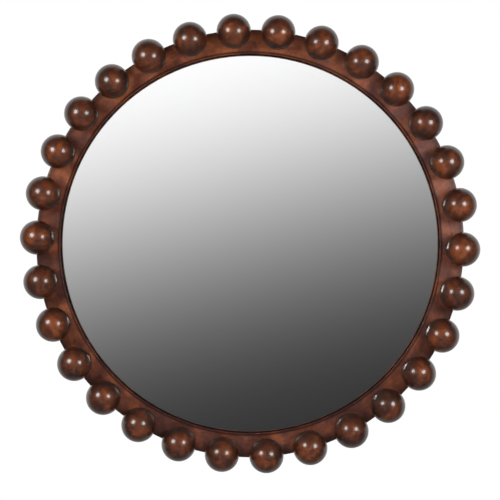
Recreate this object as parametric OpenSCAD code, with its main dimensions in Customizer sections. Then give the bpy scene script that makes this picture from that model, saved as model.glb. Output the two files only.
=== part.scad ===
/* Round wall mirror: a flat wooden ring that carries a circle of turned balls,
   with the glass set back behind the ring's lip. The wall is the plane y = 0,
   the mirror faces -Y, and the origin is the middle of the wall plane. */

/* [Ring] */
// Outer diameter of the ring
ring_od = 752; // [735:1:790]
// Width of the ring's front face, from its outer edge to its inner edge
ring_face_w = 41.5; // [39:0.5:46]
// Depth of the lip, from the ring's front face back to the glass
lip_depth = 15; // [10:0.5:24]
// Rounding of the front outer edge
outer_round = 2.5; // [1:0.25:4]
// Rounding of the front inner edge
inner_round = 2; // [0.5:0.25:3]
// Rounding of the back outer edge
back_round = 1; // [0.5:0.25:2]
// Chamfer where the rebate opens at the back
rebate_chamfer = 0.5; // [0.25:0.25:1]

/* [Balls] */
// Number of balls round the ring
ball_count = 30; // [24:1:32]
// Diameter of a ball
ball_d = 60; // [44:1:66]
// Distance from the ring's outer edge in to the balls' centres
ball_inset = 6; // [5.5:0.5:12]
// Height of the flat that is turned off the back of a ball
ball_flat = 3; // [1:0.25:6]

/* [Glass and back board] */
// Thickness of the mirror glass
glass_t = 4; // [3:0.5:6]
// How far the glass reaches behind the lip
glass_lap = 5.5; // [4:0.5:7]
// Gap round the glass in its rebate
glass_gap = 0.8; // [0.4:0.1:1.5]
// Seamed edge of the glass
glass_seam = 0.5; // [0.2:0.1:1]
// Thickness of the back board
board_t = 3; // [2.5:0.5:6]
// Gap round the back board in its rebate
board_gap = 1; // [0.4:0.1:2]
// Depth of the back board below the ring's back face
board_recess = 1; // [0.5:0.1:3]

/* [Ball screws] */
// Shank diameter of a ball screw
ball_screw_d = 4; // [3:0.5:5]
// Core diameter of its threaded end
ball_screw_core = 2.8; // [2:0.1:3]
// Head diameter
ball_screw_head = 8; // [7:0.5:9]
// Head height
ball_screw_head_h = 2.6; // [2:0.1:3.5]
// How far the screw bites into the ball
ball_screw_bite = 20; // [12:1:30]
// Depth left in the pilot hole past the screw's point
pilot_spare = 2; // [1:0.5:4]

/* [Retaining clips] */
// One clip in every so many gaps between the balls
clip_every = 3; // [2:1:5]
// Width of a clip
clip_w = 11; // [8:0.5:14]
// Thickness of a clip
clip_t = 1.2; // [0.8:0.1:2]
// Length of the tab that is screwed to the ring
clip_tab = 14; // [12:0.5:18]
// Length of the tongue that holds the back board
clip_tongue = 12; // [8:0.5:16]
// Shank diameter of a clip screw
clip_screw_d = 3; // [2.5:0.5:4]
// Core diameter of its threaded end
clip_screw_core = 2.2; // [1.6:0.1:2.4]
// Head diameter
clip_screw_head = 6; // [5:0.5:7]
// Head height
clip_screw_head_h = 2; // [1.5:0.1:3]
// Length under the head
clip_screw_l = 13; // [10:1:16]

/* [Hangers] */
// Gaps between the balls from the top to each hanger
hanger_gap_index = 1; // [1:1:2]
// Length of a hanger plate
plate_l = 40; // [38:0.5:44]
// Height of a hanger plate
plate_h = 20; // [19:0.5:21]
// Thickness of a hanger plate
plate_t = 2; // [1.5:0.25:2.5]
// Corner radius of a hanger plate
plate_corner = 3; // [1:0.5:5]
// Gap round a hanger plate in its recess
plate_gap = 0.3; // [0.2:0.1:0.6]
// Diameter of the keyhole's entry
key_entry_d = 9.5; // [9:0.1:10.5]
// Width of the keyhole's slot
key_slot_w = 4.8; // [4:0.1:5.5]
// Travel from the entry up to the end of the slot
key_travel = 7; // [6:0.25:8]
// Depth of the pocket behind the keyhole
pocket_depth = 8; // [6:0.5:10]
// Room round the entry in the pocket
pocket_clear = 0.25; // [0:0.05:0.5]
// Distance between the two screws of a plate
plate_screw_pitch = 30; // [28:0.5:31]
// Shank diameter of a hanger screw
plate_screw_d = 3.5; // [3:0.5:4]
// Core diameter of its threaded end
plate_screw_core = 2.4; // [2:0.1:2.8]
// Head diameter
plate_screw_head = 6.5; // [6:0.25:7]
// Head height
plate_screw_head_h = 1.7; // [1.5:0.1:2]
// Length of a hanger screw
plate_screw_l = 16; // [12:1:18]

/* [Wall pads] */
// Diameter of a wall pad
pad_d = 16; // [12:1:20]
// Rounding of a pad's wall side
pad_round = 1; // [0.5:0.25:1.5]
// Gaps between the balls from the top to each upper pad
pad_upper_gap = 4; // [2:1:5]
// Gaps between the balls from the bottom to each lower pad
pad_lower_gap = 4; // [2:1:5]
// Room left between the wall and the clip screws' heads
wall_clear = 0.8; // [0.5:0.1:2]

/* [Screw details] */
// Clearance between a screw's shank and its hole, all round
shank_clear = 0.25; // [0.15:0.05:0.5]
// Clearance between a threaded core and its pilot hole, all round
core_clear = 0.15; // [0.1:0.05:0.3]
// Straight rim of a countersunk head
head_rim = 0.4; // [0.2:0.1:0.6]
// Length of a screw's point
point_l = 3; // [2:0.5:4]
// Width of the cross recess in a head
cross_w = 0.9; // [0.6:0.1:1.2]
// Depth of the cross recess
cross_depth = 1.1; // [0.6:0.1:1.4]
// Span of the cross recess as a share of the head
cross_share = 0.6; // [0.4:0.05:0.7]

/* [Hidden] */
ring_colour = [0.40, 0.20, 0.14];
ball_colour = [0.38, 0.18, 0.10];
glass_colour = [0.80, 0.84, 0.86];
board_colour = [0.50, 0.38, 0.26];
steel_colour = [0.62, 0.63, 0.65];
brass_colour = [0.72, 0.60, 0.34];
rubber_colour = [0.12, 0.12, 0.13];

// Steps of an arc in a turned profile
arc_steps = 8;
// A cut runs this far past the face that it opens
past = 1;

// Heights above the wall: the pads carry the ring clear of the clip screws
pad_t = wall_clear + clip_screw_head_h + clip_t;
ring_t = lip_depth + glass_t + board_t + board_recess;
back_z = pad_t;
front_z = back_z + ring_t;
glass_z = front_z - lip_depth - glass_t;
board_z = glass_z - board_t;

// Radii, from the outer edge in
ring_r = ring_od / 2;
inner_r = ring_r - ring_face_w;
glass_r = inner_r + glass_lap;
rebate_r = glass_r + glass_gap;
board_r = rebate_r - board_gap;
ball_circle_r = ring_r - ball_inset;
band_mid_r = (ring_r + rebate_r) / 2;

// The balls stand half a step either side of the top
ball_step = 360 / ball_count;
ball_z = front_z + ball_d / 2 - ball_flat;
function ball_angle(i) = 90 - ball_step * (i + 0.5);
function gap_angle(gap) = 90 + ball_step * gap;

// Clips stand in every few gaps, counted from the one at the top
clip_count = floor(ball_count / clip_every);
clip_angles = [for (i = [0:clip_count - 1]) gap_angle(i * clip_every)];
clip_screw_r = rebate_r + clip_tab / 2;
clip_back_z = back_z - clip_t;

// The hangers' centres lie in the middle of the band behind the ring
hanger_turn = ball_step * hanger_gap_index;
hanger_x = band_mid_r * sin(hanger_turn);
hanger_up = band_mid_r * cos(hanger_turn);
pocket_r = key_entry_d / 2 + pocket_clear;

pad_angles = [
    gap_angle(pad_upper_gap),
    gap_angle(-pad_upper_gap),
    180 + gap_angle(pad_lower_gap),
    180 + gap_angle(-pad_lower_gap)
];

ball_names = [for (i = [1:ball_count]) str("ball_", i < 10 ? "0" : "", i)];

// Points of an arc about a centre, between two angles
function arc(centre, radius, from, to) = [
    for (k = [0:arc_steps])
        centre + radius * [cos(from + (to - from) * k / arc_steps), sin(from + (to - from) * k / arc_steps)]
];

// Stands a shape that was drawn lying on the wall plane upright, facing -Y
module upright() {
    rotate([90, 0, 0]) children();
}

// Places a shape on a circle about the mirror's middle, turned with it
module on_circle(radius, angle) {
    rotate([0, 0, angle]) translate([radius, 0, 0]) children();
}

// A disc or ring turned from a profile of radius and height
module turned(points) {
    rotate_extrude($fn = 240) polygon(points);
}

// A flat plate with round corners, centred, from height 0 up
module round_plate(length, height, thickness, corner) {
    linear_extrude(thickness) {
        square([length - 2 * corner, height], center = true);
        square([length, height - 2 * corner], center = true);
        for (x = [-1, 1], y = [-1, 1])
            translate([x * (length / 2 - corner), y * (height / 2 - corner)]) circle(corner, $fn = 32);
    }
}

// A straight slot with round ends, from one centre up to another
module slot(radius, travel, thickness) {
    cylinder(r = radius, h = thickness, $fn = 48);
    translate([0, travel, 0]) cylinder(r = radius, h = thickness, $fn = 48);
    translate([-radius, 0, 0]) cube([2 * radius, travel, thickness]);
}

// Profile of a countersunk head, from its face at height 0 to the shank
function sunk_head(head_d, head_h, shank_d) = [
    [0, 0], [head_d / 2, 0], [head_d / 2, head_rim], [shank_d / 2, head_h]
];

// Profile of a pan head, from its crown at height 0 to the shank
function pan_head(head_d, head_h, shank_d) = concat(
    [[0, 0]],
    arc([head_d / 2 - head_h / 2, head_h / 2], head_h / 2, -90, 0),
    [[head_d / 2, head_h], [shank_d / 2, head_h]]
);

// A wood screw that points away from the wall, from its head's face at height 0
module screw(head, head_d, shank_d, core_d, grip, length) {
    difference() {
        rotate_extrude($fn = 48) polygon(concat(head, [
            [shank_d / 2, grip],
            [core_d / 2, grip + (shank_d - core_d) / 2],
            [core_d / 2, length - point_l],
            [0, length]
        ]));
        for (turn = [0, 90]) rotate([0, 0, turn])
            translate([-head_d * cross_share / 2, -cross_w / 2, -past])
                cube([head_d * cross_share, cross_w, cross_depth + past]);
    }
}

// Clearance hole and countersink for a screw whose head lies flush at height 0
module sunk_hole(head_d, head_h, shank_d, depth) {
    translate([0, 0, -past]) cylinder(d = shank_d + 2 * shank_clear, h = depth + past, $fn = 48);
    translate([0, 0, head_rim])
        cylinder(d1 = head_d + 2 * shank_clear, d2 = shank_d + 2 * shank_clear, h = head_h - head_rim, $fn = 48);
    translate([0, 0, -past]) cylinder(d = head_d + 2 * shank_clear, h = head_rim + past, $fn = 48);
}

// Pilot hole for a screw's threaded end, opened at its mouth for the end of the shank
module pilot(shank_d, core_d, depth) {
    mouth_d = shank_d + 2 * core_clear;
    cylinder(d = core_d + 2 * core_clear, h = depth, $fn = 48);
    cylinder(d1 = mouth_d, d2 = core_d + 2 * core_clear, h = (shank_d - core_d) / 2, $fn = 48);
    translate([0, 0, -past]) cylinder(d = mouth_d, h = past, $fn = 48);
}

// Section of the ring: lip in front, rebate for glass and board behind
function ring_section() = concat(
    arc([ring_r - back_round, back_z + back_round], back_round, -90, 0),
    arc([ring_r - outer_round, front_z - outer_round], outer_round, 0, 90),
    arc([inner_r + inner_round, front_z - inner_round], inner_round, 90, 180),
    [
        [inner_r, glass_z + glass_t],
        [rebate_r, glass_z + glass_t],
        [rebate_r, back_z + rebate_chamfer],
        [rebate_r + rebate_chamfer, back_z]
    ]
);

// Recess for a hanger plate, the pocket behind its keyhole and its two pilot holes
module hanger_cut() {
    translate([0, 0, back_z - past])
        round_plate(plate_l + 2 * plate_gap, plate_h + 2 * plate_gap, plate_t + past, plate_corner + plate_gap);
    translate([0, -key_travel / 2, back_z]) slot(pocket_r, key_travel, plate_t + pocket_depth);
    for (side = [-1, 1]) translate([side * plate_screw_pitch / 2, 0, back_z + plate_t])
        pilot(plate_screw_d, plate_screw_core, plate_screw_l - plate_t + pilot_spare);
}

module frame_ring() {
    color(ring_colour) upright() difference() {
        turned(ring_section());
        for (i = [0:ball_count - 1]) on_circle(ball_circle_r, ball_angle(i)) translate([0, 0, back_z])
            sunk_hole(ball_screw_head, ball_screw_head_h, ball_screw_d, ring_t + past);
        for (angle = clip_angles) on_circle(clip_screw_r, angle) translate([0, 0, back_z])
            pilot(clip_screw_d, clip_screw_core, clip_screw_l - clip_t + pilot_spare);
        for (side = [-1, 1]) translate([side * hanger_x, hanger_up, 0]) hanger_cut();
    }
}

// One turned ball, numbered clockwise from the top as seen from the front
module ball(i) {
    color(ball_colour) upright() on_circle(ball_circle_r, ball_angle(i)) difference() {
        translate([0, 0, ball_z]) sphere(d = ball_d, $fn = 96);
        translate([0, 0, front_z - ball_d]) cylinder(d = ball_d, h = ball_d, $fn = 48);
        translate([0, 0, front_z]) pilot(ball_screw_d, ball_screw_core, ball_screw_bite + pilot_spare);
    }
}

module ball_screws() {
    color(brass_colour) upright() for (i = [0:ball_count - 1])
        on_circle(ball_circle_r, ball_angle(i)) translate([0, 0, back_z])
            screw(sunk_head(ball_screw_head, ball_screw_head_h, ball_screw_d), ball_screw_head,
                  ball_screw_d, ball_screw_core, ring_t, ring_t + ball_screw_bite);
}

// Silvered glass disc with seamed edges
module mirror_glass() {
    color(glass_colour) upright() turned([
        [0, glass_z],
        [glass_r - glass_seam, glass_z],
        [glass_r, glass_z + glass_seam],
        [glass_r, glass_z + glass_t - glass_seam],
        [glass_r - glass_seam, glass_z + glass_t],
        [0, glass_z + glass_t]
    ]);
}

module back_board() {
    color(board_colour) upright() turned([
        [0, board_z],
        [board_r, board_z],
        [board_r, board_z + board_t],
        [0, board_z + board_t]
    ]);
}

// Stepped clip: the tab lies on the ring's back, the tongue on the board
module retaining_clip() {
    bend = clip_t * tan(22.5);
    wall_side = [
        [rebate_r + clip_tab, clip_back_z],
        [rebate_r - bend, clip_back_z],
        [rebate_r - bend - board_recess, clip_back_z + board_recess],
        [rebate_r - clip_tongue, clip_back_z + board_recess]
    ];
    room_side = [
        [rebate_r - clip_tongue, board_z],
        [rebate_r - board_recess, board_z],
        [rebate_r, back_z],
        [rebate_r + clip_tab, back_z]
    ];
    mid_r = rebate_r + (clip_tab - clip_tongue) / 2;
    difference() {
        intersection() {
            rotate([90, 0, 0]) linear_extrude(clip_w, center = true) polygon(concat(wall_side, room_side));
            translate([mid_r, 0, 0]) round_plate(clip_tab + clip_tongue, clip_w, front_z, clip_w / 3);
        }
        translate([clip_screw_r, 0, 0]) cylinder(d = clip_screw_d + 2 * shank_clear, h = front_z, $fn = 32);
    }
}

module retaining_clips() {
    color(steel_colour) upright() for (angle = clip_angles) rotate([0, 0, angle]) retaining_clip();
}

module clip_screws() {
    head_z = clip_back_z - clip_screw_head_h;
    color(steel_colour) upright() for (angle = clip_angles)
        on_circle(clip_screw_r, angle) translate([0, 0, head_z])
            screw(pan_head(clip_screw_head, clip_screw_head_h, clip_screw_d), clip_screw_head,
                  clip_screw_d, clip_screw_core, clip_screw_head_h + clip_t,
                  clip_screw_head_h + clip_screw_l);
}

// Flush steel plate with a keyhole: the screw's head goes in low and rides up the slot
module hanger_plate(side) {
    color(steel_colour) upright() translate([side * hanger_x, hanger_up, back_z]) difference() {
        round_plate(plate_l, plate_h, plate_t, plate_corner);
        translate([0, -key_travel / 2, -past]) {
            cylinder(d = key_entry_d, h = plate_t + 2 * past, $fn = 64);
            slot(key_slot_w / 2, key_travel, plate_t + 2 * past);
        }
        for (x = [-1, 1]) translate([x * plate_screw_pitch / 2, 0, 0])
            sunk_hole(plate_screw_head, plate_screw_head_h, plate_screw_d, plate_t + past);
    }
}

module hanger_screws() {
    color(steel_colour) upright() for (side = [-1, 1], x = [-1, 1])
        translate([side * hanger_x + x * plate_screw_pitch / 2, hanger_up, back_z])
            screw(sunk_head(plate_screw_head, plate_screw_head_h, plate_screw_d), plate_screw_head,
                  plate_screw_d, plate_screw_core, plate_t, plate_screw_l);
}

// Round rubber pads that keep the back off the wall
module wall_pads() {
    color(rubber_colour) upright() for (angle = pad_angles) on_circle(band_mid_r, angle)
        rotate_extrude($fn = 48) polygon(concat(
            [[0, 0]],
            arc([pad_d / 2 - pad_round, pad_round], pad_round, -90, 0),
            [[pad_d / 2, pad_t], [0, pad_t]]
        ));
}

frame_ring();
for (i = [0:ball_count - 1]) ball(i);
ball_screws();
mirror_glass();
back_board();
retaining_clips();
clip_screws();
hanger_plate(-1);  // hanger_plate_left
hanger_plate(1);  // hanger_plate_right
hanger_screws();
wall_pads();
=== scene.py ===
"""Looks of a round wall mirror: a flat stained ring, thirty turned balls and a silvered glass.

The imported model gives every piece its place. This script gives each piece its finish, puts
finer surfaces in place of the balls and the glass, and sets up the camera, light and floor.
Lengths are in metres. The wall is the plane y = 0, the mirror faces -Y and +Z is up.
"""

import logging
import math
from dataclasses import dataclass, field
from enum import Enum
from typing import Any, Sequence, Union

import bpy
import numpy as np
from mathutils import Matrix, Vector


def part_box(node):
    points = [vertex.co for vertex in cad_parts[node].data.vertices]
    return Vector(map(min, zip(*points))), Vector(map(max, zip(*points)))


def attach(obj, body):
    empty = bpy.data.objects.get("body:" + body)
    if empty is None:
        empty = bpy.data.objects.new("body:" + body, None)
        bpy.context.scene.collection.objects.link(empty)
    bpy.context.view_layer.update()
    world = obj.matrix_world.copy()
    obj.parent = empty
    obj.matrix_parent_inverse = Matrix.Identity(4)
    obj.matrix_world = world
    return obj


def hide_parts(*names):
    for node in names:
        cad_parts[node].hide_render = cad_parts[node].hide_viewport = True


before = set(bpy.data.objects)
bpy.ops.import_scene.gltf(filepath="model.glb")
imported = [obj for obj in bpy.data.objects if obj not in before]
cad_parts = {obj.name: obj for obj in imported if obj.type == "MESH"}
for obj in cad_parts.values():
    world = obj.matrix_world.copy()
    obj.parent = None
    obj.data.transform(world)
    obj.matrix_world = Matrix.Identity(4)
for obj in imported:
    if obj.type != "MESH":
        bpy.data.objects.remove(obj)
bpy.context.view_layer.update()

log = logging.getLogger("round_mirror")

BODY = "root"
MM = 0.001
WHITE = (1.0, 1.0, 1.0)

Colour = tuple[float, float, float]
Socket = bpy.types.NodeSocket
Value = Union[Socket, float, Sequence[float]]


def srgb(red: float, green: float, blue: float) -> Colour:
    """Linear colour of an 8-bit display colour.

    Args:
        red: display red, 0 to 255.
        green: display green, 0 to 255.
        blue: display blue, 0 to 255.

    Returns:
        The three linear channels, 0 to 1, by the display's own curve.
    """
    shares = np.array([red, green, blue]) / 255
    linear = np.where(shares <= 0.04045, shares / 12.92, ((shares + 0.055) / 1.055) ** 2.4)
    return tuple(float(c) for c in linear)


class Plating(Enum):
    """Zinc platings of the steel parts."""

    CLEAR = "clear"
    YELLOW = "yellow"


# Node building


class Graph:
    """Adds nodes to one node tree and wires them from left to right."""

    def __init__(self, tree: bpy.types.NodeTree) -> None:
        """Starts on an empty tree."""
        self.tree = tree
        self.tree.nodes.clear()

    def put(self, target: Socket, value: Value) -> None:
        """Wires a socket into target, or sets target to a plain value.

        Args:
            target: the input socket.
            value: a socket, a number, or as many numbers as the socket holds; a colour's alpha is one.
        """
        if isinstance(value, bpy.types.NodeSocket):
            self.tree.links.new(value, target)
        elif isinstance(value, (int, float)):
            target.default_value = value
        else:
            size = len(target.default_value)
            target.default_value = (*value, 1.0)[:size] if len(value) < size else tuple(value)[:size]

    def node(self, kind: str, inputs: dict[Any, Value] | None = None, **settings: Any) -> bpy.types.Node:
        """Adds one node.

        Args:
            kind: the node's type name, without its ShaderNode prefix.
            inputs: values or sockets by input name or number.
            settings: properties of the node.

        Returns:
            The new node.
        """
        made = self.tree.nodes.new(kind if kind.startswith("Node") else "ShaderNode" + kind)
        for name, value in settings.items():
            setattr(made, name, value)
        for key, value in (inputs or {}).items():
            self.put(made.inputs[key], value)
        return made

    def math(self, operation: str, *values: Value, clamp: bool = False) -> Socket:
        """Result of a Math node on one to three values."""
        return self.node("Math", dict(enumerate(values)), operation=operation, use_clamp=clamp).outputs[0]

    def times(self, first: Value, second: Value) -> Socket:
        """Product of two numbers."""
        return self.math("MULTIPLY", first, second)

    def plus(self, first: Value, second: Value) -> Socket:
        """Sum of two numbers."""
        return self.math("ADD", first, second)

    def larger(self, first: Value, second: Value) -> Socket:
        """Larger of two numbers."""
        return self.math("MAXIMUM", first, second)

    def place(self) -> Socket:
        """Place in the object's own space, in metres."""
        return self.node("TexCoord").outputs["Object"]

    def ramp(self, value: Value, low: float, high: float, to_low: float = 0.0,
             to_high: float = 1.0) -> Socket:
        """Smooth step of a value.

        Args:
            value: the value.
            low: where the step starts.
            high: where it ends.
            to_low: the result at its start.
            to_high: the result at its end.

        Returns:
            The result's socket.
        """
        inputs = {"Value": value, "From Min": low, "From Max": high, "To Min": to_low, "To Max": to_high}
        return self.node("MapRange", inputs, interpolation_type="SMOOTHSTEP").outputs["Result"]

    def mix(self, share: Value, first: Value, second: Value, blend: str = "MIX") -> Socket:
        """Mixes two colours.

        Args:
            share: how much of the mixed result is taken, 0 to 1.
            first: the colour at a share of 0.
            second: the colour to mix in.
            blend: how the two colours are mixed.

        Returns:
            The mixed colour's socket.
        """
        made = self.node("Mix", {0: share, 6: first, 7: second}, data_type="RGBA", blend_type=blend)
        return made.outputs[2]

    def blend(self, share: Value, first: Value, second: Value) -> Socket:
        """Number mixed from first to second by share."""
        return self.node("Mix", {0: share, 2: first, 3: second}, data_type="FLOAT").outputs[0]

    def noise(self, place: Value, scale: Value, detail: float = 3.0, roughness: float = 0.5,
              distortion: float = 0.0) -> Socket:
        """Noise at a place.

        Args:
            place: the place, in metres.
            scale: how many of the noise's features go into a metre.
            detail: number of finer layers.
            roughness: weight of the finer layers.
            distortion: how much the noise bends itself.

        Returns:
            The noise value's socket, 0 to 1.
        """
        inputs = {
            "Vector": place, "Scale": scale, "Detail": detail, "Roughness": roughness,
            "Distortion": distortion,
        }
        return self.node("TexNoise", inputs).outputs["Fac"]

    def stretched(self, place: Value, scale: Sequence[float], turn: Sequence[float] = (0, 0, 0)) -> Socket:
        """Place turned and scaled."""
        return self.node("Mapping", {"Vector": place, "Rotation": turn, "Scale": scale}).outputs[0]

    def parts(self, vector: Value) -> list[Socket]:
        """The three numbers of a vector."""
        return list(self.node("SeparateXYZ", {0: vector}).outputs)

    def joined(self, *numbers: Value) -> Socket:
        """Vector of three numbers."""
        return self.node("CombineXYZ", dict(enumerate(numbers))).outputs[0]

    def dimmed(self, colour: Value, share: Value) -> Socket:
        """Colour times a number."""
        return self.mix(1.0, colour, self.joined(share, share, share), blend="MULTIPLY")


def new_group(name: str, inputs: dict[str, Any], outputs: Sequence[str]) -> tuple[Graph, dict, dict]:
    """Starts a shader node group with named sockets.

    Args:
        name: name of the group.
        inputs: default value by input name; a tuple makes a vector socket, a number a float one.
        outputs: names of the outputs, which are all float sockets.

    Returns:
        The group's graph, its input sockets and its output sockets by name.
    """
    tree = bpy.data.node_groups.new(name, "ShaderNodeTree")
    graph = Graph(tree)
    for label, default in inputs.items():
        kind = "NodeSocketVector" if isinstance(default, tuple) else "NodeSocketFloat"
        socket = tree.interface.new_socket(name=label, in_out="INPUT", socket_type=kind)
        socket.default_value = default
    for label in outputs:
        tree.interface.new_socket(name=label, in_out="OUTPUT", socket_type="NodeSocketFloat")
    start = graph.node("NodeGroupInput")
    end = graph.node("NodeGroupOutput")
    return graph, {k: start.outputs[k] for k in inputs}, {k: end.inputs[k] for k in outputs}


class Effects:
    """Node groups that several finishes share. Each is built once."""

    def __init__(self) -> None:
        """Builds every group."""
        self.polar = self._polar()
        self.stain = self._stain()
        self.line = self._line()
        self.handling = self._handling()

    @staticmethod
    def use(graph: Graph, group: bpy.types.NodeTree, inputs: dict[str, Value]) -> bpy.types.Node:
        """Node of a group in a material's graph, with the material's own value or socket by input name."""
        return graph.node("Group", inputs, node_tree=group)

    def wear(self, graph: Graph, place: Socket, smear_size: float,
             speck_size: float = 2 * MM) -> list[Socket]:
        """The smears and the specks of handling, of sizes in metres, in a material's graph."""
        inputs = {"Place": place, "Smear size": smear_size, "Speck size": speck_size}
        return list(self.use(graph, self.handling, inputs).outputs)

    @staticmethod
    def _polar() -> bpy.types.NodeTree:
        """Place about the mirror's axis: radius = sqrt(x2 + z2), turn = atan2(z, x), depth = y.

        Returns:
            The group's tree.
        """
        graph, start, end = new_group(
            "Place about the axis",
            {"Place": (0.0, 0.0, 0.0)},
            ("Radius", "Turn", "Depth"),
        )
        x, y, z = graph.parts(start["Place"])
        squares = graph.plus(graph.times(x, x), graph.times(z, z))
        graph.put(end["Radius"], graph.math("SQRT", squares))
        graph.put(end["Turn"], graph.math("ARCTAN2", z, x))
        graph.put(end["Depth"], y)
        return graph.tree

    @staticmethod
    def _stain() -> bpy.types.NodeTree:
        """Stained wood: soft patches of stain, figure that follows the growth rings, fibres and pores.

        The place's X runs along the grain. Fibres are noise stretched along X. The figure is a
        wave across the grain, bent by noise.

        Returns:
            The group's tree.
        """
        graph, start, end = new_group(
            "Stained wood",
            {"Place": (0.0, 0.0, 0.0), "Patch size": 0.02, "Figure size": 0.006, "Figure": 0.3},
            ("Stain", "Fibre", "Pore", "Height"),
        )
        place = start["Place"]
        patch_scale = graph.math("DIVIDE", 1.0, start["Patch size"])
        patches = graph.noise(place, patch_scale, roughness=0.45, distortion=0.3)
        figure = graph.node("TexWave", {
            "Vector": graph.stretched(place, (0.25, 1.0, 1.0)),
            "Scale": graph.math("DIVIDE", 0.3, start["Figure size"]),
            "Distortion": 7.0, "Detail": 2.5, "Detail Scale": 1.3, "Detail Roughness": 0.6,
        }, bands_direction="Y")
        soft = graph.ramp(patches, 0.3, 0.7)
        stain = graph.blend(start["Figure"], soft, figure.outputs["Fac"])
        fibre = graph.noise(graph.stretched(place, (0.05, 1.0, 1.0)), 1400.0, detail=2.0, roughness=0.6)
        cells = graph.node("TexVoronoi", {"Vector": graph.stretched(place, (0.09, 1.0, 1.0)), "Scale": 900.0})
        pore = graph.ramp(cells.outputs["Distance"], 0.12, 0.24, 1.0, 0.0)
        pore = graph.times(pore, graph.ramp(graph.noise(place, 160.0), 0.48, 0.62))
        height = graph.math("SUBTRACT", graph.times(fibre, 0.5), pore)
        graph.put(end["Stain"], stain)
        graph.put(end["Fibre"], fibre)
        graph.put(end["Pore"], pore)
        graph.put(end["Height"], height)
        return graph.tree

    @staticmethod
    def _line() -> bpy.types.NodeTree:
        """Soft mask along a circle: one on the circle, falling to nothing at the given width.

        Returns:
            The group's tree.
        """
        graph, start, end = new_group(
            "Line along a circle",
            {"Radius": 0.0, "Depth": 0.0, "At radius": 0.38, "At depth": -0.03, "Width": 0.004},
            ("Mask",),
        )
        across = graph.math("SUBTRACT", start["Radius"], start["At radius"])
        along = graph.math("SUBTRACT", start["Depth"], start["At depth"])
        squares = graph.plus(graph.times(across, across), graph.times(along, along))
        share = graph.math("DIVIDE", graph.math("SQRT", squares), start["Width"])
        graph.put(end["Mask"], graph.ramp(share, 0.0, 1.0, 1.0, 0.0))
        return graph.tree

    @staticmethod
    def _handling() -> bpy.types.NodeTree:
        """Traces of use: wide soft smears and small specks, both 0 to 1, for tone and roughness.

        Returns:
            The group's tree.
        """
        graph, start, end = new_group(
            "Traces of handling",
            {"Place": (0.0, 0.0, 0.0), "Smear size": 0.05, "Speck size": 0.002},
            ("Smear", "Speck"),
        )
        smear_scale, speck_scale = (graph.math("DIVIDE", 1.0, start[k]) for k in ("Smear size", "Speck size"))
        smear = graph.noise(start["Place"], smear_scale, roughness=0.6, distortion=0.4)
        speck = graph.noise(start["Place"], speck_scale, detail=2.0)
        graph.put(end["Smear"], graph.ramp(smear, 0.35, 0.65))
        graph.put(end["Speck"], graph.ramp(speck, 0.60, 0.72))
        return graph.tree


def new_material(name: str) -> tuple[bpy.types.Material, Graph]:
    """Starts a material on an empty node tree.

    Args:
        name: the material's name.

    Returns:
        The material and its graph.
    """
    material = bpy.data.materials.new(name)
    material.use_nodes = True
    return material, Graph(material.node_tree)


def end_material(graph: Graph, shader: bpy.types.Node) -> None:
    """Wires a shader to the material's output."""
    graph.node("OutputMaterial", {"Surface": shader.outputs[0]})


# Finishes


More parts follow.
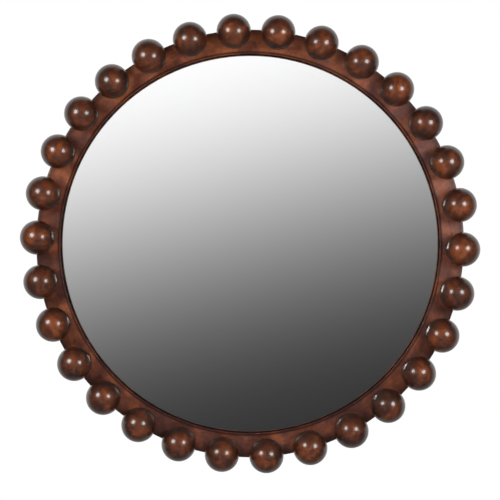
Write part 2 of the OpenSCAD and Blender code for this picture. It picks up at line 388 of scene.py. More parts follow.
@dataclass(frozen=True)
class BallWood:
    """Turned ball: stained dark, wiped back in patches, and lacquered to a soft gloss.

    The grain follows each ball's own grain attribute, and its tone attribute makes one ball
    a little lighter or darker than the next. Small flecks are left where the stain didn't take,
    and small clouds where it took more. Painted shade: where the surface is seen at a slant, the
    wood's colour is darkened to a set share of its brightness. The sheen colour tints the gloss
    of the wood under the clear coat.
    """

    name: str = "ball_wood"
    light: Colour = srgb(120, 58, 26)
    middle: Colour = srgb(82, 39, 24)
    dark: Colour = srgb(46, 26, 24)
    sheen: Colour = (1.0, 0.5, 0.27)
    # Painted shade: share of the colour left where the surface is seen at a slant.
    slant_painted_shade: float = 0.36
    flecks: float = 0.7
    fleck_scale: float = 210.0
    clouds: float = 0.6
    cloud_scale: float = 130.0
    patch_size: float = 24 * MM
    figure_size: float = 12 * MM
    tone_share: float = 0.1
    pore_share: float = 0.4
    coat_weight: float = 1.0
    coat_roughness: float = 0.22
    coat_ior: float = 1.55

    def build(self, effects: Effects) -> bpy.types.Material:
        """Makes the material.

        Args:
            effects: the shared node groups.

        Returns:
            The material.
        """
        material, graph = new_material(self.name)
        grain = graph.node("Attribute", attribute_name="grain", attribute_type="GEOMETRY").outputs["Vector"]
        tone = graph.node("Attribute", attribute_name="tone", attribute_type="GEOMETRY").outputs["Fac"]
        wood = effects.use(graph, effects.stain, {
            "Place": grain, "Patch size": self.patch_size, "Figure size": self.figure_size, "Figure": 0.25,
        })
        stain = graph.math("ADD", wood.outputs["Stain"], graph.times(tone, self.tone_share), clamp=True)
        colour = graph.mix(graph.ramp(stain, 0.0, 0.5), self.light, self.middle)
        colour = graph.mix(graph.ramp(stain, 0.45, 1.0), colour, self.dark)
        fleck = graph.noise(grain, self.fleck_scale, roughness=0.6)
        colour = graph.mix(graph.ramp(fleck, 0.54, 0.74, 0.0, self.flecks), colour, self.light)
        cloud = graph.noise(grain, self.cloud_scale, roughness=0.6)
        colour = graph.mix(graph.ramp(cloud, 0.30, 0.50, self.clouds, 0.0), colour, self.dark)
        colour = graph.mix(graph.times(wood.outputs["Pore"], self.pore_share), colour, self.dark)
        fibres = graph.ramp(wood.outputs["Fibre"], 0.3, 0.7, 0.86, 1.12)
        # Painted shade: the colour is darkened where the surface is seen at a slant.
        facing = graph.node("LayerWeight").outputs["Facing"]
        shown = graph.times(fibres, graph.ramp(facing, 0.0, 0.5, 1.0, self.slant_painted_shade))
        colour = graph.dimmed(colour, shown)
        bump = graph.node("Bump", {"Height": wood.outputs["Height"], "Strength": 0.25, "Distance": 0.08 * MM})
        shader = graph.node("BsdfPrincipled", {
            "Base Color": colour, "Roughness": graph.ramp(wood.outputs["Fibre"], 0.2, 0.8, 0.50, 0.60),
            "Specular IOR Level": 0.5, "Specular Tint": self.sheen, "Coat Weight": self.coat_weight,
            "Coat Roughness": self.coat_roughness, "Coat IOR": self.coat_ior, "Normal": bump.outputs[0],
        })
        end_material(graph, shader)
        return material


@dataclass(frozen=True)
class RingWood:
    """Flat ring: the same stain on straight-grained segments, darker at its outer edge and inner arris.

    Painted light and shade: the stain is lessened by a set amount for each metre of height, so
    the ring is lighter towards the top and darker towards the bottom. A faint cool painted sheen
    is mixed into its colour on the side that its turn points to, growing towards the outer edge.
    Painted shade darkens the deep part of the wall of the opening. The wall of the opening and
    the back face have no lacquer.
    """

    outer_radius: float
    inner_radius: float
    front: float
    back: float
    name: str = "ring_wood"
    light: Colour = srgb(134, 74, 45)
    middle: Colour = srgb(106, 56, 38)
    dark: Colour = srgb(82, 44, 34)
    edge_dark_and_painted_shade: Colour = srgb(30, 15, 12)
    bare: Colour = srgb(142, 98, 66)
    # Painted sheen: its faint cool colour, its share and the turn of the side where it lies.
    bloom_and_painted_sheen: Colour = srgb(150, 120, 126)
    painted_sheen_share: float = 0.09
    painted_sheen_turn: float = math.radians(35)
    # Painted light and shade: stain taken off for each metre of height.
    painted_light_by_height: float = 0.6
    segments: int = 10
    segment_step: float = 3.7
    patch_size: float = 30 * MM
    figure_size: float = 9 * MM
    smear_scale: float = 11.0
    mottle_scale: float = 95.0
    pore_share: float = 0.5
    # Darkening at the outer edge and along the inner arris; painted shade deep in the opening's wall.
    edge_width: float = 18 * MM
    outer_edge_dark: float = 0.6
    arris: float = 1.8 * MM
    arris_width: float = 3.4 * MM
    arris_dark: float = 0.9
    lip: float = 15 * MM
    lip_painted_shade: float = 0.85
    raw_share: float = 0.6
    coat_weight: float = 0.75
    coat_roughness: float = 0.21

    def build(self, effects: Effects) -> bpy.types.Material:
        """Makes the material.

        Args:
            effects: the shared node groups.

        Returns:
            The material.
        """
        material, graph = new_material(self.name)
        place = graph.place()
        polar = effects.use(graph, effects.polar, {"Place": place})
        radius, turn, depth = (polar.outputs[k] for k in ("Radius", "Turn", "Depth"))
        share = graph.math("DIVIDE", turn, math.tau / self.segments)
        segment = graph.math("FLOOR", share)
        within = graph.math("SUBTRACT", graph.math("FRACT", share), 0.5)
        angle = graph.times(within, math.tau / self.segments)
        along = graph.times(radius, graph.math("SINE", angle))
        across = graph.times(radius, graph.math("COSINE", angle))
        grain = graph.joined(graph.plus(along, graph.times(segment, self.segment_step)), across, depth)
        wood = effects.use(graph, effects.stain, {
            "Place": grain, "Patch size": self.patch_size, "Figure size": self.figure_size, "Figure": 0.12,
        })
        smear = graph.ramp(graph.noise(place, self.smear_scale, detail=2.0), 0.35, 0.65)
        stain = graph.blend(0.4, wood.outputs["Stain"], smear)
        x, _, z = graph.parts(place)
        # Painted light and shade: less stain higher up, so the ring is lighter towards the top and darker
        # towards the bottom.
        stain = graph.math("SUBTRACT", stain, graph.times(z, self.painted_light_by_height), clamp=True)
        colour = graph.mix(graph.ramp(stain, 0.2, 0.5), self.light, self.middle)
        colour = graph.mix(graph.ramp(stain, 0.5, 0.8), colour, self.dark)
        colour = graph.mix(graph.times(wood.outputs["Pore"], self.pore_share), colour, self.dark)
        fibres = graph.ramp(wood.outputs["Fibre"], 0.3, 0.7, 0.90, 1.08)
        mottle = graph.noise(grain, self.mottle_scale, roughness=0.6)
        shown = graph.times(fibres, graph.ramp(mottle, 0.3, 0.7, 0.80, 1.18))
        colour = graph.dimmed(colour, shown)
        # Painted sheen: a faint cool colour mixed in on one side, growing towards the outer edge.
        sideways = graph.times(x, math.cos(self.painted_sheen_turn))
        aside = graph.plus(sideways, graph.times(z, math.sin(self.painted_sheen_turn)))
        painted_sheen_mask = graph.ramp(aside, 0.5 * self.outer_radius, self.outer_radius, 0.0, self.painted_sheen_share)
        colour = graph.mix(painted_sheen_mask, colour, self.bloom_and_painted_sheen)
        edges = [
            effects.use(graph, effects.line, {
                "Radius": radius, "Depth": depth, "At radius": at, "At depth": self.front, "Width": width,
            }).outputs["Mask"]
            for at, width in (
                (self.outer_radius, self.edge_width), (self.inner_radius + self.arris, self.arris_width),
            )
        ]
        # Darker at the outer edge and along the inner arris, and painted shade deep in the wall of the
        # opening, next to the glass.
        wall = graph.ramp(radius, self.inner_radius + 0.4 * MM, self.inner_radius + 2.2 * MM, 1.0, 0.0)
        deep = graph.ramp(depth, self.front + 0.5 * self.lip, self.front + 0.95 * self.lip)
        edge = graph.larger(graph.times(edges[0], self.outer_edge_dark), graph.times(edges[1], self.arris_dark))
        edge = graph.larger(edge, graph.times(graph.times(deep, wall), self.lip_painted_shade))
        colour = graph.mix(edge, colour, self.edge_dark_and_painted_shade)
        behind = graph.ramp(depth, self.back - 1.2 * MM, self.back - 0.4 * MM)
        raw = graph.mix(wood.outputs["Stain"], self.bare, self.dark)
        colour = graph.mix(graph.times(behind, self.raw_share), colour, raw)
        bump = graph.node("Bump", {"Height": wood.outputs["Height"], "Strength": 0.3, "Distance": 0.1 * MM})
        coated = graph.math("SUBTRACT", 1.0, graph.larger(behind, wall))
        shader = graph.node("BsdfPrincipled", {
            "Base Color": colour, "Roughness": graph.blend(graph.larger(behind, wall), 0.5, 0.8),
            "Specular IOR Level": 0.1, "Coat Weight": graph.times(coated, self.coat_weight),
            "Coat Roughness": self.coat_roughness, "Coat IOR": 1.5, "Normal": bump.outputs[0],
        })
        end_material(graph, shader)
        return material


@dataclass(frozen=True)
class ClearGlass:
    """Clear float glass of the mirror, with the faint green that iron gives its edge."""

    name: str = "clear_glass"
    tint: Colour = (0.985, 0.992, 0.988)
    ior: float = 1.52

    def build(self, effects: Effects) -> bpy.types.Material:
        """Makes the material. The faces are left perfectly smooth.

        Args:
            effects: the shared node groups; not used.

        Returns:
            The material.
        """
        material, graph = new_material(self.name)
        shader = graph.node("BsdfPrincipled", {
            "Base Color": self.tint, "Roughness": 0.0, "IOR": self.ior, "Transmission Weight": 1.0,
        })
        end_material(graph, shader)
        return material


@dataclass(frozen=True)
class Silver:
    """Silver film under the glass, backed by grey protective paint."""

    film_depth: float
    name: str = "silver_film"
    silver: Colour = (0.965, 0.965, 0.965)
    paint: Colour = srgb(118, 122, 124)
    worn_paint: Colour = srgb(92, 96, 98)

    def build(self, effects: Effects) -> bpy.types.Material:
        """Makes the material: metal on the side of the glass, paint behind film_depth.

        Args:
            effects: the shared node groups.

        Returns:
            The material.
        """
        material, graph = new_material(self.name)
        place = graph.place()
        painted = graph.math("GREATER_THAN", graph.parts(place)[1], self.film_depth)
        smear, _ = effects.wear(graph, place, 80 * MM)
        paint = graph.mix(graph.times(smear, 0.3), self.paint, self.worn_paint)
        shader = graph.node("BsdfPrincipled", {
            "Base Color": graph.mix(painted, self.silver, paint),
            "Metallic": graph.math("SUBTRACT", 1.0, painted),
            "Roughness": graph.times(painted, 0.6),
        })
        end_material(graph, shader)
        return material


@dataclass(frozen=True)
class PlatedSteel:
    """Zinc-plated steel, clear or yellow, with a cloudy film and fine rub marks."""

    plating: Plating

    def build(self, effects: Effects) -> bpy.types.Material:
        """Makes the material.

        Args:
            effects: the shared node groups.

        Returns:
            The material.
        """
        yellow = self.plating is Plating.YELLOW
        bright = srgb(214, 184, 112) if yellow else srgb(196, 200, 206)
        cloudy = srgb(178, 150, 104) if yellow else srgb(158, 163, 170)
        warm = srgb(196, 148, 112) if yellow else srgb(176, 178, 172)
        grime = srgb(96, 92, 86)
        material, graph = new_material(self.plating.value + "_zinc")
        place = graph.place()
        smear, speck = effects.wear(graph, place, 6 * MM, 0.7 * MM)
        drift = graph.ramp(graph.noise(place, 90.0), 0.4, 0.6)
        colour = graph.mix(smear, bright, cloudy)
        colour = graph.mix(graph.times(drift, 0.5), colour, warm)
        colour = graph.mix(graph.times(speck, 0.4), colour, grime)
        rubbed = graph.stretched(place, (0.06, 1.0, 1.0), turn=(0.0, 0.4, 0.0))
        rubs = graph.noise(rubbed, 2600.0, detail=2.0)
        bump = graph.node("Bump", {"Height": rubs, "Strength": 0.2, "Distance": 0.04 * MM})
        shader = graph.node("BsdfPrincipled", {
            "Base Color": colour, "Metallic": 1.0,
            "Roughness": graph.blend(smear, 0.26, 0.42), "Normal": bump.outputs[0],
        })
        end_material(graph, shader)
        return material


@dataclass(frozen=True)
class Hardboard:
    """Brown pressed board: short fibres in all directions, a little darker towards its edge."""

    radius: float
    name: str = "hardboard"
    light: Colour = srgb(150, 112, 76)
    middle: Colour = srgb(126, 90, 58)
    dark: Colour = srgb(84, 58, 38)
    edge_width: float = 20 * MM
    fibre_turns: tuple[float, ...] = (0.3, 1.4, 2.5)

    def build(self, effects: Effects) -> bpy.types.Material:
        """Makes the material.

        Args:
            effects: the shared node groups.

        Returns:
            The material.
        """
        material, graph = new_material(self.name)
        place = graph.place()
        polar = effects.use(graph, effects.polar, {"Place": place})
        smear, speck = effects.wear(graph, place, 110 * MM, 1.6 * MM)
        long_fibres = [
            graph.noise(graph.stretched(place, (1.0, 1.0, 0.12), turn=(0.0, turn, 0.0)), 900.0, detail=2.0)
            for turn in self.fibre_turns
        ]
        fibre = graph.larger(graph.larger(*long_fibres[:2]), long_fibres[2])
        colour = graph.mix(smear, self.middle, self.light)
        colour = graph.mix(graph.ramp(fibre, 0.55, 0.75, 0.0, 0.55), colour, self.dark)
        colour = graph.mix(graph.times(speck, 0.5), colour, self.dark)
        edge = graph.ramp(polar.outputs["Radius"], self.radius - self.edge_width, self.radius, 0.0, 0.4)
        colour = graph.mix(edge, colour, self.dark)
        bump = graph.node("Bump", {"Height": fibre, "Strength": 0.35, "Distance": 0.15 * MM})
        shader = graph.node("BsdfPrincipled", {
            "Base Color": colour, "Roughness": graph.blend(smear, 0.62, 0.78),
            "Specular IOR Level": 0.35, "Normal": bump.outputs[0],
        })
        end_material(graph, shader)
        return material


@dataclass(frozen=True)
class Rubber:
    """Black moulded rubber with a dull grey haze on its surface."""

    name: str = "black_rubber"
    black: Colour = srgb(34, 34, 36)
    bloom_and_painted_sheen: Colour = srgb(66, 66, 68)
    dust: Colour = srgb(120, 118, 114)

    def build(self, effects: Effects) -> bpy.types.Material:
        """Makes the material.

        Args:
            effects: the shared node groups.

        Returns:
            The material.
        """
        material, graph = new_material(self.name)
        place = graph.place()
        smear, speck = effects.wear(graph, place, 8 * MM, 0.6 * MM)
        colour = graph.mix(graph.times(smear, 0.6), self.black, self.bloom_and_painted_sheen)
        colour = graph.mix(graph.times(speck, 0.35), colour, self.dust)
        skin = graph.noise(place, 3500.0, detail=2.0)
        bump = graph.node("Bump", {"Height": skin, "Strength": 0.3, "Distance": 0.08 * MM})
        shader = graph.node("BsdfPrincipled", {
            "Base Color": colour, "Roughness": graph.blend(smear, 0.72, 0.88),
            "Specular IOR Level": 0.4, "Normal": bump.outputs[0],
        })
        end_material(graph, shader)
        return material


# Surfaces


def arc(centre: Sequence[float], radius: float, start: float, end: float, steps: int) -> np.ndarray:
    """Points of a circular arc: centre + radius * (cos a, sin a) for a from start to end.

    Args:
        centre: the arc's centre.
        radius: its radius.
        start: first angle in radians.
        end: last angle in radians.
        steps: number of steps between them.

    Returns:
        An array of steps + 1 points.
    """
    angle = np.linspace(start, end, steps + 1)
    return np.asarray(centre) + radius * np.stack([np.cos(angle), np.sin(angle)], axis=1)


def turned_surface(profile: np.ndarray, sides: int) -> tuple[np.ndarray, np.ndarray, np.ndarray]:
    """Surface turned from a profile, with both ends of the profile on the axis.

    Point (i, j) is (r cos t, -h, r sin t), with r and h from the profile's point i and
    t = 2 pi j / sides. The two ends are single points. The profile runs from the front end
    to the back end, so that the faces point outwards.

    Args:
        profile: rows of radius and height along the axis.
        sides: number of steps round the axis.

    Returns:
        The points, the quads between the rings and the triangles round the two ends.
    """
    turn = np.arange(sides) * (math.tau / sides)
    radius, height = profile[1:-1, 0], profile[1:-1, 1]
    rings = np.stack([
        np.outer(radius, np.cos(turn)),
        np.repeat(-height[:, None], sides, axis=1),
        np.outer(radius, np.sin(turn)),
    ], axis=-1).reshape(-1, 3)
    ends = np.array([[0.0, -profile[0, 1], 0.0], [0.0, -profile[-1, 1], 0.0]])
    points = np.concatenate([rings, ends])
    rows, columns = np.meshgrid(np.arange(len(radius) - 1), np.arange(sides), indexing="ij")
    following = (columns + 1) % sides
    quads = np.stack([
        rows * sides + columns,
        rows * sides + following,
        (rows + 1) * sides + following,
        (rows + 1) * sides + columns,
    ], axis=-1).reshape(-1, 4)
    side = np.arange(sides)
    after = (side + 1) % sides
    last = (len(radius) - 1) * sides
    front_cap = np.stack([np.full(sides, len(rings)), after, side], axis=-1)
    back_cap = np.stack([np.full(sides, len(rings) + 1), last + side, last + after], axis=-1)
    return points, quads, np.concatenate([front_cap, back_cap])


def new_piece(name: str, points: np.ndarray, quads: np.ndarray, triangles: np.ndarray,
              material: bpy.types.Material, sharp_angle: float = math.radians(35)) -> bpy.types.Object:
    """Makes a mesh object at the origin from arrays, smooth but for its sharp edges.

    Args:
        name: the piece's name.
        points: its points, in the row frame.
        quads: its four-sided faces.
        triangles: its three-sided faces.
        material: its finish.
        sharp_angle: edges that turn by more than this stay sharp.

    Returns:
        The new object, linked to the scene.
    """
    mesh = bpy.data.meshes.new(name)
    mesh.from_pydata(points.tolist(), [], quads.tolist() + triangles.tolist())
    mesh.polygons.foreach_set("use_smooth", np.ones(len(mesh.polygons), bool))
    mesh.set_sharp_from_angle(angle=sharp_angle)
    mesh.materials.append(material)
    mesh.validate()
    made = bpy.data.objects.new(name, mesh)
    bpy.context.scene.collection.objects.link(made)
    return made


def dress(node: str, material: bpy.types.Material) -> None:
    """Gives a CAD node its finish.

    Args:
        node: the node's name.
        material: its finish.
    """
    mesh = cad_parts[node].data
    mesh.materials.clear()
    mesh.materials.append(material)
    log.info("%s: %s", node, material.name)


# Sub-assemblies


@dataclass
class Ring:
    """The flat ring, which keeps its CAD solid with its screw holes, rebate and hanger pockets."""

    node: str = "frame_ring"
    face_width: float = 41.5 * MM

    def build(self, effects: Effects) -> None:
        """Dresses the ring.

        Args:
            effects: the shared node groups.
        """
        low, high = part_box(self.node)
        finish = RingWood(
            outer_radius=high.x, inner_radius=high.x - self.face_width, front=low.y, back=high.y,
        )
        dress(self.node, finish.build(effects))


@dataclass
class Balls:
    """Thirty turned balls, each with the flat that it stands on and the hole for its screw."""

    count: int = 30
    flat_edge: float = 0.4 * MM
    edge_turn: float = math.radians(1.2)
    hole_mouth: float = 2.15 * MM
    hole_radius: float = 1.55 * MM
    hole_depth: float = 22 * MM
    ripple: float = 0.08 * MM
    arc_steps: int = 56
    sides: int = 96
    seed: int = 11
    lower_ball_darkening: float = 1.2
    slot: str = "ball_wood"

    def profile(self, radius: float, flat: float) -> np.ndarray:
        """Profile of a ball from its front pole to the end of its screw hole.

        The sphere is an arc that stops edge_turn short of the flat, and a small bevel leads to
        the flat. The flat leads to the mouth of the hole, and the hole ends in a cone.

        Args:
            radius: the ball's radius.
            flat: distance from its centre back to the flat.

        Returns:
            Rows of radius and height, with the ball's centre at height 0.
        """
        flat_angle = math.asin(flat / radius) - self.edge_turn
        sphere = arc((0, 0), radius, math.pi / 2, -flat_angle, self.arc_steps)
        rim = math.sqrt(radius ** 2 - flat ** 2)
        cone = self.hole_mouth - self.hole_radius
        hole = np.array([
            [rim - self.flat_edge, -flat],
            [self.hole_mouth, -flat],
            [self.hole_radius, cone - flat],
            [self.hole_radius, self.hole_depth - flat],
            [0.0, self.hole_depth + self.hole_radius - flat],
        ])
        return np.concatenate([sphere, hole])

    def worked(self, points: np.ndarray, radius: float, random: np.random.Generator) -> np.ndarray:
        """Points moved inwards by the slight unevenness of hand turning and sanding.

        The move is ripple * (1 - cos a * cos b) / 2, with a and b slow waves over the sphere.
        Points well inside the sphere, such as the hole's, stay.

        Args:
            points: the ball's points about its centre.
            radius: its radius.
            random: source of the waves' phases.

        Returns:
            The moved points.
        """
        phase = random.uniform(0, math.tau, 2)
        reach = np.linalg.norm(points, axis=1, keepdims=True)
        unit = points / np.maximum(reach, 1e-9)
        wave = np.cos(4 * unit[:, :1] + 3 * unit[:, 2:] + phase[0]) * np.cos(5 * unit[:, 2:] + phase[1])
        inwards = self.ripple * (1 - wave) / 2
        return np.where(reach > 0.999 * radius, points - unit * inwards, points)

    def build(self, effects: Effects) -> None:
        """Makes the balls in the places of their CAD nodes.

        Args:
            effects: the shared node groups.
        """
        material = BallWood().build(effects)
        random = np.random.default_rng(self.seed)
        frame_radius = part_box("frame_ring")[1].x
        for number in range(1, self.count + 1):
            node = f"ball_{number:02d}"
            low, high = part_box(node)
            centre = (low + high) / 2
            radius = (high.x - low.x + high.z - low.z) / 4
            centre.y = low.y + radius
            points, quads, triangles = turned_surface(self.profile(radius, high.y - centre.y), self.sides)
            shaped = self.worked(points, radius, random)
            made = new_piece("turned_" + node, shaped + np.array(centre), quads, triangles, material)
            # Balls below the middle of the ring get a darker tone, more so towards the bottom.
            share_down = max(0.0, -centre.z / frame_radius)
            self._mark(made, points, random, self.lower_ball_darkening * share_down ** 2)
            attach(made, BODY)
            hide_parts(node)
            log.info("%s at (%.3f, %.3f)", made.name, centre.x, centre.z)

    @staticmethod
    def _mark(made: bpy.types.Object, points: np.ndarray, random: np.random.Generator, darker: float) -> None:
        """Stores where each point lies in the ball's own blank, and how dark that ball is.

        The blank's axes are a random turn of the ball's, found as the orthogonal part of a
        random matrix, and its middle is moved so that no two balls share their grain.

        Args:
            made: the ball.
            points: its points about its centre.
            random: source of the turn, the move and the tone.
            darker: what is added to the ball's tone.
        """
        axes, _ = np.linalg.qr(random.normal(size=(3, 3)))
        place = points @ axes.T + random.uniform(-5, 5, 3)
        grain = made.data.attributes.new("grain", "FLOAT_VECTOR", "POINT")
        grain.data.foreach_set("vector", place.astype(np.float32).ravel())
        tone = made.data.attributes.new("tone", "FLOAT", "POINT")
        tone.data.foreach_set("value", np.full(len(points), random.uniform(-1, 1) + darker, np.float32))


@dataclass
class Glass:
    """The mirror itself: a clear pane with seamed edges and the silver film behind it."""

    node: str = "mirror_glass"
    seam: float = 0.5 * MM
    film: float = 0.2 * MM
    bite: float = 0.02 * MM
    sides: int = 288
    slot: str = "mirror"

    def build(self, effects: Effects) -> None:
        """Makes the pane and the film in the place of the CAD disc.

        Args:
            effects: the shared node groups.
        """
        low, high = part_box(self.node)
        radius = high.x
        front, back = -low.y, -high.y
        film_front = back + self.film
        pane = np.array([
            [0.0, front],
            [0.5 * radius, front],
            [radius - self.seam, front],
            [radius, front - self.seam],
            [radius, film_front + self.seam],
            [radius - self.seam, film_front],
            [0.5 * radius, film_front],
            [0.0, film_front],
        ])
        coat = np.array([
            [0.0, film_front + self.bite],
            [0.5 * radius, film_front + self.bite],
            [radius - 2 * self.seam, film_front + self.bite],
            [radius - 2 * self.seam, back],
            [0.5 * radius, back],
            [0.0, back],
        ])
        self._turn("glass_pane", pane, ClearGlass().build(effects))
        film_depth = -(film_front + back) / 2
        self._turn("silver_backing", coat, Silver(film_depth=film_depth).build(effects))
        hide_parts(self.node)

    def _turn(self, name: str, profile: np.ndarray, material: bpy.types.Material) -> None:
        """Makes one turned disc that rides with the mirror.

        Args:
            name: the piece's name.
            profile: rows of radius and height, from the front to the back.
            material: its finish.
        """
        made = new_piece(name, *turned_surface(profile, self.sides), material)
        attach(made, BODY)
        log.info("%s: %s", name, material.name)


@dataclass
class Back:
    """Everything behind the ring: board, clips, screws, keyhole plates and wall pads."""

    board: str = "back_board"
    clear_zinc: tuple[str, ...] = (
        "retaining_clips", "clip_screws", "hanger_plate_left", "hanger_plate_right", "hanger_screws",
    )
    yellow_zinc: tuple[str, ...] = ("ball_screws",)
    pads: str = "wall_pads"

    def build(self, effects: Effects) -> None:
        """Dresses the CAD nodes of the back.

        Args:
            effects: the shared node groups.
        """
        dress(self.board, Hardboard(radius=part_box(self.board)[1].x).build(effects))
        dress(self.pads, Rubber().build(effects))
        for plating, nodes in ((Plating.CLEAR, self.clear_zinc), (Plating.YELLOW, self.yellow_zinc)):
            material = PlatedSteel(plating).build(effects)
            for node in nodes:
                dress(node, material)


# Studio


def disk_lamp(name: str, place: Sequence[float], diameter: float, power: float) -> bpy.types.Object:
    """Makes a round area lamp, aimed at the mirror's middle.

    Args:
        name: the lamp's name.
        place: the middle of its face.
        diameter: width of its face.
        power: watts for each square metre of its face.

    Returns:
        The lamp's object, linked to the scene.
    """
    light = bpy.data.lights.new(name, "AREA")
    light.shape = "DISK"
    light.size = diameter
    light.energy = power * math.pi * (diameter / 2) ** 2
    made = bpy.data.objects.new(name, light)
    bpy.context.scene.collection.objects.link(made)
    made.location = place
    made.rotation_euler = (-Vector(place)).to_track_quat("-Z", "Y").to_euler()
    return made


@dataclass(frozen=True)
class Softbox:
    """One round lamp, placed as seen by the level camera.

    Its power is in watts for each square metre of its face. What the lacquer sees of it in
    the mirror glass depends on the way from the glass to the lamp: nothing where the way is
    short, faint_share of its brightness from faint_far on, and share_in_glass from across_far
    on, which is across the mirror.
    """

    name: str
    place: tuple[float, float, float]
    share_in_glass: float
    across_near: float
    across_far: float
    faint_share: float = 0.04
    faint_near: float = 1.93
    faint_far: float = 1.97
    diameter: float = 0.70
    power: float = 45.0

    def build(self, roll: float) -> None:
        """Makes the lamp, aimed at the mirror's middle.

        Args:
            roll: the camera's roll in radians, by which the lamp is turned about the mirror's axis.
        """
        x, y, z = self.place
        cos, sin = math.cos(roll), math.sin(roll)
        rolled = (x * cos - z * sin, y, z * cos + x * sin)
        light = disk_lamp(self.name, rolled, self.diameter, self.power).data
        light.use_nodes = True
        graph = Graph(light.node_tree)
        path = graph.node("LightPath")
        in_glass = graph.math("GREATER_THAN", path.outputs["Glossy Depth"], 1.5)
        way = path.outputs["Ray Length"]
        across = graph.ramp(way, self.across_near, self.across_far, 0.0, self.share_in_glass)
        faint = graph.ramp(way, self.faint_near, self.faint_far, 0.0, self.faint_share)
        shown = graph.blend(in_glass, 1.0, graph.larger(across, faint))
        emission = graph.node("Emission", {"Color": WHITE, "Strength": shown})
        graph.node("OutputLight", {"Surface": emission.outputs[0]})


@dataclass(frozen=True)
class LowFill:
    """Wide lamp low in front, weak for its size, that lights the undersides.

    Neither gloss nor the glass nor the camera shows it. Its power is in watts for each square
    metre of its face.
    """

    name: str = "low_fill"
    place: tuple[float, float, float] = (0.0, -1.3, -1.0)
    diameter: float = 1.4
    power: float = 10.0

    def build(self) -> None:
        """Makes the lamp, aimed at the mirror's middle."""
        made = disk_lamp(self.name, self.place, self.diameter, self.power)
        made.visible_glossy = False
        made.visible_transmission = False
        made.visible_camera = False


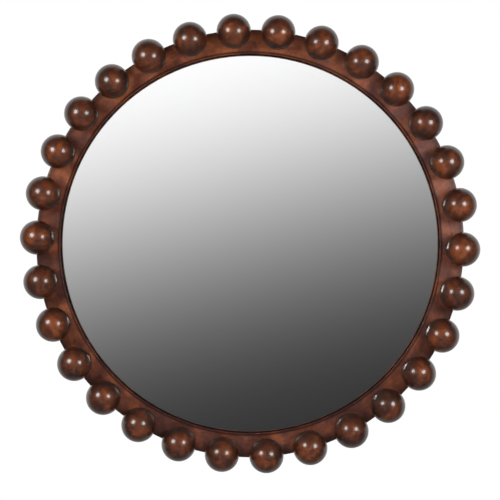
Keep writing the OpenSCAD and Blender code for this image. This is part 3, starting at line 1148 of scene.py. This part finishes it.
@dataclass
class Studio:
    """Camera, lamps, surroundings and floor.

    The camera stands on the mirror's axis. It is rolled a little, because the mirror in the
    picture hangs slightly turned.
    """

    distance: float = 2.5
    lens: float = 102.46
    sensor: float = 36.0
    picture: int = 500
    middle_x: float = 250.1
    middle_y: float = 243.5
    roll: float = math.radians(1.6)
    floor_height: float = -1.15
    floor_size: float = 6.0
    floor_tone: Colour = srgb(236, 236, 236)
    floor_lift: float = 0.75
    room: tuple[float, float] = (0.1, 0.02)
    backdrop: tuple[float, float] = (0.36, 0.88)
    soft_behind: float = 1.1
    soft_ahead: float = 0.25
    soft_around: float = 0.02
    lamps: tuple[Softbox, ...] = field(default_factory=lambda: (
        Softbox("left_softbox", (-1.13, -1.45, 0.43), 0.75, 2.06, 2.09),
        Softbox("right_softbox", (1.07, -1.57, 0.24), 0.45, 2.09, 2.114),
    ))

    def build(self) -> None:
        """Sets up everything around the object."""
        self._camera()
        for lamp in self.lamps:
            lamp.build(self.roll)
        LowFill().build()
        self._surroundings()
        self._floor()
        bpy.context.scene.view_settings.view_transform = "Standard"

    def _camera(self) -> None:
        """Camera at the photograph's viewing point, with the shift that frames the mirror."""
        data = bpy.data.cameras.new("camera")
        data.sensor_width = self.sensor
        data.lens = self.lens
        data.shift_x = (self.picture / 2 - self.middle_x) / self.picture
        data.shift_y = (self.middle_y - self.picture / 2) / self.picture
        data.clip_start = 0.01
        camera = bpy.data.objects.new("camera", data)
        camera.location = (0.0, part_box("frame_ring")[0].y - self.distance, 0.0)
        camera.rotation_euler = (math.pi / 2, -self.roll, 0.0)
        bpy.context.scene.collection.objects.link(camera)
        bpy.context.scene.camera = camera

    def _surroundings(self) -> None:
        """World: white to the camera, soft light on the object, and what its gloss shows.

        Polished glass shows a graded reflector behind the camera. Its brightness is a smooth
        step of height less a share of sideways, as the eye sees it, and it is grey beside that.
        Lacquer shows a nearly dark room in front and a pale backdrop behind. room and backdrop
        hold their brightness low down and high up. The soft light falls mostly from behind.
        """
        world = bpy.data.worlds.new("surroundings")
        world.use_nodes = True
        bpy.context.scene.world = world
        graph = Graph(world.node_tree)
        towards = graph.node("TexCoord").outputs["Generated"]
        x, y, z = graph.parts(graph.stretched(towards, (1, 1, 1), turn=(0, self.roll, 0)))
        front = graph.times(y, -1.0)
        graded = self._graded(graph, x, front, z)
        beside = graph.math("POWER", graph.ramp(z, -0.8, 0.4, 0.62, 0.9), 2.2)
        polished = graph.blend(graph.ramp(front, 0.90, 0.965), beside, graded)
        room = graph.ramp(z, -0.85, -0.2, *self.room)
        wall = graph.ramp(z, -0.9, 0.0, *self.backdrop)
        lacquer = graph.blend(graph.ramp(y, -0.1, 0.4), room, wall)
        path = graph.node("LightPath")
        bounces = graph.plus(path.outputs["Glossy Depth"], path.outputs["Diffuse Depth"])
        once = graph.math("LESS_THAN", bounces, 1.5)
        single = graph.times(path.outputs["Is Singular Ray"], once)
        gloss = graph.blend(single, lacquer, polished)
        behind = graph.times(graph.larger(y, 0.0), self.soft_behind)
        ahead = graph.times(graph.larger(front, 0.0), self.soft_ahead)
        soft = graph.plus(graph.plus(behind, ahead), self.soft_around)
        seen = graph.blend(path.outputs["Is Glossy Ray"], soft, gloss)
        seen = graph.blend(path.outputs["Is Camera Ray"], seen, 1.0)
        background = graph.node("Background", {"Color": WHITE, "Strength": seen})
        graph.node("OutputWorld", {"Surface": background.outputs[0]})

    @staticmethod
    def _graded(graph: Graph, x: Socket, front: Socket, z: Socket) -> Socket:
        """Brightness of the graded reflector.

        Args:
            graph: the world's graph.
            x: sideways part of the direction.
            front: its part towards the room.
            z: its upward part.

        Returns:
            The radiance, a smooth step between two display values, put through the display's curve.
        """
        lean, middle, reach = 0.266, 0.0014, 0.1551
        dark, bright = 0.212, 1.027
        mirror_share = 0.962
        ahead = graph.larger(front, 0.2)
        height = graph.math("DIVIDE", graph.math("SUBTRACT", z, graph.times(x, lean)), ahead)
        shown = graph.ramp(height, middle - reach, middle + reach, dark, bright)
        linear = graph.math("POWER", graph.math("DIVIDE", graph.plus(shown, 0.055), 1.055), 2.4)
        return graph.math("DIVIDE", linear, mirror_share)

    def _floor(self) -> None:
        """Plain pale floor, white to the camera where no shadow falls on it."""
        material, graph = new_material("pale_floor")
        shader = graph.node("BsdfPrincipled", {
            "Base Color": self.floor_tone, "Roughness": 0.9, "Specular IOR Level": 0.2,
        })
        lift = graph.times(graph.node("LightPath").outputs["Is Camera Ray"], self.floor_lift)
        glow = graph.node("Emission", {"Color": WHITE, "Strength": lift})
        end_material(graph, graph.node("AddShader", {0: shader.outputs[0], 1: glow.outputs[0]}))
        half = self.floor_size / 2
        corners = np.array([[-half, -half], [half, -half], [half, half], [-half, half]])
        points = np.concatenate([corners, np.full((4, 1), self.floor_height)], axis=1)
        floor = new_piece("floor", points, np.array([[0, 1, 2, 3]]), np.empty((0, 3), int), material)
        floor.visible_glossy = False


def main() -> None:
    """Builds the mirror from its parts, then the studio around it."""
    logging.basicConfig(level=logging.INFO, format="%(name)s: %(message)s")
    effects = Effects()
    for part in (Ring(), Balls(), Glass(), Back()):
        log.info("building %s", type(part).__name__)
        part.build(effects)
    Studio().build()


if __name__ == "__main__":
    main()
